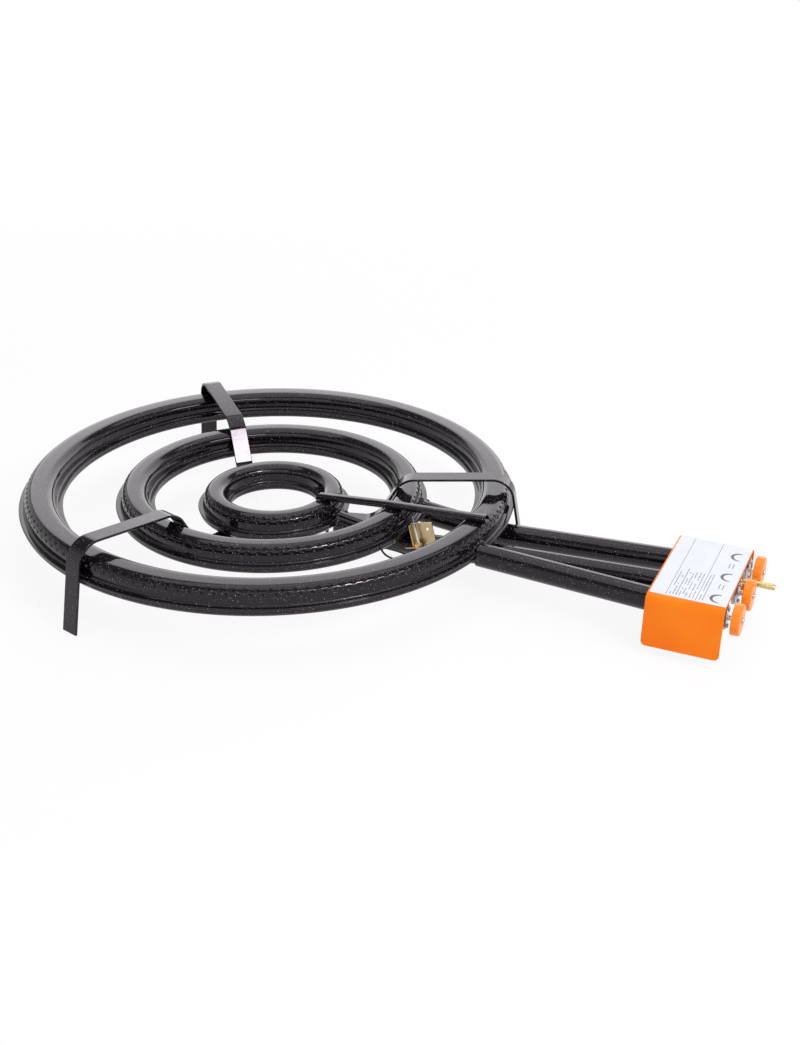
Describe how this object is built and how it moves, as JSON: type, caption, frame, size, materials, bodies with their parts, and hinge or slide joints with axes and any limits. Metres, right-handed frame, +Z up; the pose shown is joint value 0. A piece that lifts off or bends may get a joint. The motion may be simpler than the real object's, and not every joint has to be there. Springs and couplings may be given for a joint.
{
  "type": "multi-ring gas burner",
  "caption": "Gas burner of concentric enamelled rings on flat-bar legs, with separate feed tubes to a folded valve cover with push-and-turn knobs.",
  "frame": {"origin": "middle of the burner's outline on the floor that its three feet stand on", "axes": "+X from the rings toward the valve cover and the knobs, +Z up, +Y to the left when facing along +X"},
  "size_m": [0.9294, 0.6042, 0.1042],
  "materials": {
    "enamel": "glossy black vitreous enamel with fine pale speckles on pressed steel",
    "orange_paint": "satin orange powder coat",
    "orange_knob": "semi-gloss moulded plastic",
    "label_film": "white satin film",
    "zinc_steel": "bright zinc plating",
    "yellow_zinc": "yellow zinc plating",
    "sheath_steel": "bright stainless steel",
    "brass": "turned brass",
    "cast_aluminium": "die-cast, satin",
    "lead_sleeve": "matt black sleeve"
  },
  "bodies": {
    "burner": {"outer_ring_channel": "enamel", "outer_ring_cover": "enamel", "middle_ring_channel": "enamel", "middle_ring_cover": "enamel", "inner_ring_channel": "enamel", "inner_ring_cover": "enamel", "support_right": "enamel", "support_rear": "enamel", "support_left": "enamel", "outer_feed_tube": "enamel", "middle_feed_tube": "enamel", "inner_feed_tube": "enamel", "flame_bridge": "enamel", "valve_cover": "orange_paint", "label_plate": "label_film", "valve_carrier": "zinc_steel", "gas_manifold": "cast_aluminium", "manifold_plug": "zinc_steel", "manifold_screw_near": "zinc_steel", "manifold_screw_far": "zinc_steel", "outer_injector": "brass", "outer_tap_body": "cast_aluminium", "outer_tap_cap": "zinc_steel", "outer_cap_screw_upper": "zinc_steel", "outer_cap_screw_lower": "zinc_steel", "inner_injector": "brass", "inner_tap_body": "cast_aluminium", "inner_tap_cap": "zinc_steel", "inner_cap_screw_upper": "zinc_steel", "inner_cap_screw_lower": "zinc_steel", "middle_injector": "brass", "middle_tap_body": "cast_aluminium", "middle_tap_cap": "zinc_steel", "middle_cap_screw_upper": "zinc_steel", "middle_cap_screw_lower": "zinc_steel", "inlet_fitting": "brass", "inlet_nut": "brass", "sensor_bracket": "yellow_zinc", "sensor_rod": "sheath_steel", "sensor_nut": "yellow_zinc", "sensor_lead": "lead_sleeve", "lead_nut": "brass"},
    "outer_plunger": {"outer_thrust_washer": "zinc_steel"},
    "outer_control": {"outer_spindle": "zinc_steel", "outer_knob": "orange_knob", "outer_knob_screw": "zinc_steel"},
    "inner_plunger": {"inner_thrust_washer": "zinc_steel"},
    "inner_control": {"inner_spindle": "zinc_steel", "inner_knob": "orange_knob", "inner_knob_screw": "zinc_steel"},
    "middle_plunger": {"middle_thrust_washer": "zinc_steel"},
    "middle_control": {"middle_spindle": "zinc_steel", "middle_knob": "orange_knob", "middle_knob_screw": "zinc_steel"}
  },
  "joints": [
    {"name": "outer_push", "type": "slide", "parent": "burner", "child": "outer_plunger", "axis": [-1, 0, 0], "range_m": [0, 0.003], "stiffness_N_per_m": 2000, "springref_m": -0.002},
    {"name": "outer_turn", "type": "hinge", "parent": "outer_plunger", "child": "outer_control", "pos_m": [0.44, -0.05791, 0.0554], "axis": [1, 0, 0], "range_deg": [0, 210]},
    {"name": "inner_push", "type": "slide", "parent": "burner", "child": "inner_plunger", "axis": [-1, 0, 0], "range_m": [0, 0.003], "stiffness_N_per_m": 2000, "springref_m": -0.002},
    {"name": "inner_turn", "type": "hinge", "parent": "inner_plunger", "child": "inner_control", "pos_m": [0.44, 0.00209, 0.0554], "axis": [1, 0, 0], "range_deg": [0, 210]},
    {"name": "middle_push", "type": "slide", "parent": "burner", "child": "middle_plunger", "axis": [-1, 0, 0], "range_m": [0, 0.003], "stiffness_N_per_m": 2000, "springref_m": -0.002},
    {"name": "middle_turn", "type": "hinge", "parent": "middle_plunger", "child": "middle_control", "pos_m": [0.44, 0.06209, 0.0554], "axis": [1, 0, 0], "range_deg": [0, 210]}
  ]
}
